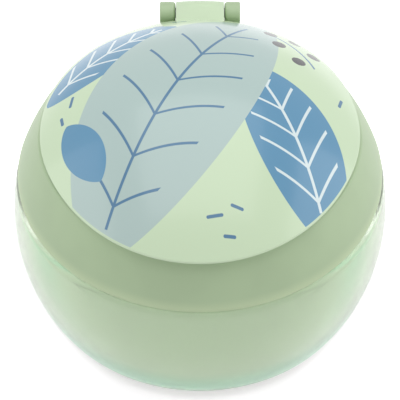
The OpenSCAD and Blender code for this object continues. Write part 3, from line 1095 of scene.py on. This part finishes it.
def middleKnuckle():  # thicker half way along, with rounded ends
    size = hingeSizes
    half, rounding = size["middleWidth"] / 2, size["middleRound"]
    thick = size["knuckle"] + size["crown"]
    crownArc = (half ** 2 + size["crown"] ** 2) / (2 * size["crown"])
    reach = degrees(atan2(half - rounding, crownArc))
    outline = filleted([
        (0, -half), (size["knuckle"], -half, rounding),
        *arcPoints((thick - crownArc, 0), crownArc, -reach, reach, 16),
        (size["knuckle"], half, rounding), (0, half)], 10)
    return alongHinge(turned("middleKnuckle", outline, size["barrelSteps"]))


def knuckleTongue():
    # Joins the knuckle to the rim. Its top meets the dome at the tongue's two inner corners.
    size, hinge = lidSizes, hingeSizes
    half = hinge["middleWidth"] / 2
    innerY = size["rim"] - hinge["tongueReach"]
    domeTop = domeCentre[1] + sqrt(domeRadius ** 2 - innerY ** 2 - half ** 2)
    outline = [
        (innerY, domeTop - size["wall"] / 2), (size["rim"] - size["wall"] / 2, size["rimFoot"]),
        (hingeY, size["rimFoot"] - hinge["tongueFoot"]),
        (hingeY, hingeZ + hinge["knuckle"] + hinge["tongueRise"]), (innerY, domeTop)]
    return bevelled(sideways(extruded("knuckleTongue", outline, -half, half)), hinge["tongueEdge"])


lid = domeShell()
for face in lid.data.polygons:  # the print is on the outside only
    printed = face.normal.z > lidPrint["leastSlope"] and face.center.z > lidSizes["rimFoot"] * mm
    face.material_index = int(printed)
lid.data.materials.append(printedPlastic.material)
lidBead = snapBead(collarSizes["catch"] + lidSizes["snapGap"], -lidSizes["snapOut"], lidSizes["snapFoot"])
cut(lid, "UNION", *[coated(piece, lidPlastic)
                    for piece in (ringsUnderLid(), lidBead, middleKnuckle(), knuckleTongue())])
sealGroove = softRing("sealGroove", lidSizes["sealInner"], lidSizes["sealOuter"], lidSizes["grooveFoot"],
                      lidSizes["sealRoof"], 0.01)
cut(lid, "DIFFERENCE", sealGroove,
    hingeBarrel("pinBore", hingeSizes["pin"] + hingeSizes["pinRoom"], hingeSizes["boreHalf"]))
fitted(lid, "lid", ["lid"])

sealSizes = {"topEdge": 0.2, "footEdge": 0.4, "noseHalf": 0.4, "noseEdge": 0.35}


def lidSeal():  # fills the groove and ends in a nose that closes on the collar's deck
    size = sealSizes
    inner, outer, foot = lidSizes["sealInner"], lidSizes["sealOuter"], lidSizes["carrierFoot"]
    low, high = nodeBox["lid_seal"]
    nose = (inner + outer) / 2
    return turned("lidSeal", filleted([
        (inner, high.z, size["topEdge"]), (inner, foot, size["footEdge"]),
        (nose - size["noseHalf"], low.z, size["noseEdge"]),
        (nose + size["noseHalf"], low.z, size["noseEdge"]),
        (outer, foot, size["footEdge"]), (outer, high.z, size["topEdge"])]))


fitted(coated(lidSeal(), sealSilicone), "lid", ["lid_seal"])

print("stage: camera, light and floor")

view = {
    "elevation": 48.45,
    "distance": 0.680,
    "aimHeight": 0.0321,
    "focalPixels": 2339.5,
    "imageWidth": 400,
}

camera = bpy.data.cameras.new("camera")
camera.sensor_width = 36
camera.lens = camera.sensor_width * view["focalPixels"] / view["imageWidth"]
eye = bpy.data.objects.new("camera", camera)
bpy.context.scene.collection.objects.link(eye)
tilt = radians(view["elevation"])
eye.location = (0, -view["distance"] * cos(tilt), view["aimHeight"] + view["distance"] * sin(tilt))
eye.rotation_euler = (pi / 2 - tilt, 0, 0)
bpy.context.scene.camera = eye
bpy.context.scene.view_settings.view_transform = "Standard"

# Lamps: place and size in metres, power in watts.
lampAim = Vector((0, 0, 0.04))
softBoxes = {
    "overhead": {"place": (0, 0.1, 0.85), "size": 0.9, "power": 2.7},
    "left": {"place": (-0.75, 0, 0.35), "size": 0.6, "power": 1.0},
    "right": {"place": (0.75, 0, 0.35), "size": 0.6, "power": 1.4},
}

for name, box in softBoxes.items():
    lamp = bpy.data.lights.new(name, "AREA")
    lamp.size = box["size"]
    lamp.energy = box["power"]
    holder = bpy.data.objects.new(name, lamp)
    holder.location = box["place"]
    holder.rotation_euler = (lampAim - holder.location).to_track_quat("-Z", "Y").to_euler()
    bpy.context.scene.collection.objects.link(holder)

surroundings = {
    "fillLevel": 0.55,  # strength of the world on diffuse surfaces
    "floorWhite": 0.8,
    "floorGlow": 0.55,
    "sideGlow": 0.12,  # how much more the floor glows at the left and the right
    "contactRing": (0.0462, 0.0485),  # radii between which the contact shadow ends
    "contactDepth": 0.055,  # how much darker the floor is inside that ring
    "contactLift": 0.14,  # and how much it gains from there to the ring's outside
    "tingeRing": (0.05, 0.054),
    "tinge": (1, 0.93, 0.985, 1),  # takes the green out of the contact shadow
    "sideBand": (0.02, 0.04),  # how far from the middle the side glow sets in
    "floorReach": 4.0,
    "floorSunk": 0.0002,  # keeps the floor off the clear base
}


def seenShare(maker):  # 1 for rays that see the surroundings themselves, 0 for light on surfaces
    path = maker.nodes.new("ShaderNodeLightPath")
    camera, glossy, through = (Term(maker, path.outputs[name])
                               for name in ("Is Camera Ray", "Is Glossy Ray", "Is Transmission Ray"))
    return camera.most(glossy).most(through)


world = bpy.data.worlds.new("studio")
bpy.context.scene.world = world
world.use_nodes = True
air = NodeMaker(world.node_tree)
level = seenShare(air) * (1 - surroundings["fillLevel"]) + surroundings["fillLevel"]
background = air.nodes["Background"]
background.inputs["Color"].default_value = (1, 1, 1, 1)
air.links.new(level.socket, background.inputs["Strength"])

reach = surroundings["floorReach"]
floorMesh = bpy.data.meshes.new("floor")
floorMesh.from_pydata([(x * reach, y * reach, -surroundings["floorSunk"])
                       for x, y in [(-1, -1), (1, -1), (1, 1), (-1, 1)]], [], [(0, 1, 2, 3)])
floor = linked("floor", floorMesh)
floorPaint = bpy.data.materials.new("paleFloor")
floorPaint.use_nodes = True
paint = NodeMaker(floorPaint.node_tree)
paint.nodes.remove(paint.nodes["Principled BSDF"])
white = (*[surroundings["floorWhite"]] * 3, 1)
matt = paint.add("ShaderNodeBsdfDiffuse", {}, {"Color": white})
east, north = paint.axes(paint.add("ShaderNodeTexCoord", output="Object"))[:2]
radius = (east * east + north * north).root()
lift = abs(east).eased(*surroundings["sideBand"]) * surroundings["sideGlow"] + surroundings["floorGlow"]
straight = paint.add("ShaderNodeLightPath", output="Is Camera Ray")
fringe = (radius.eased(*surroundings["contactRing"]) * surroundings["contactLift"]
          - surroundings["contactDepth"])
near = straight * (1 - radius.eased(*surroundings["tingeRing"]))
glow = paint.add("ShaderNodeEmission", {}, {
    "Color": paint.mix((1, 1, 1, 1), surroundings["tinge"], near),
    "Strength": seenShare(paint) * lift + straight * fringe})
both = paint.add("ShaderNodeAddShader", {}, {0: matt, 1: glow})
paint.links.new(both.socket, paint.nodes["Material Output"].inputs["Surface"])
floorMesh.materials.append(floorPaint)
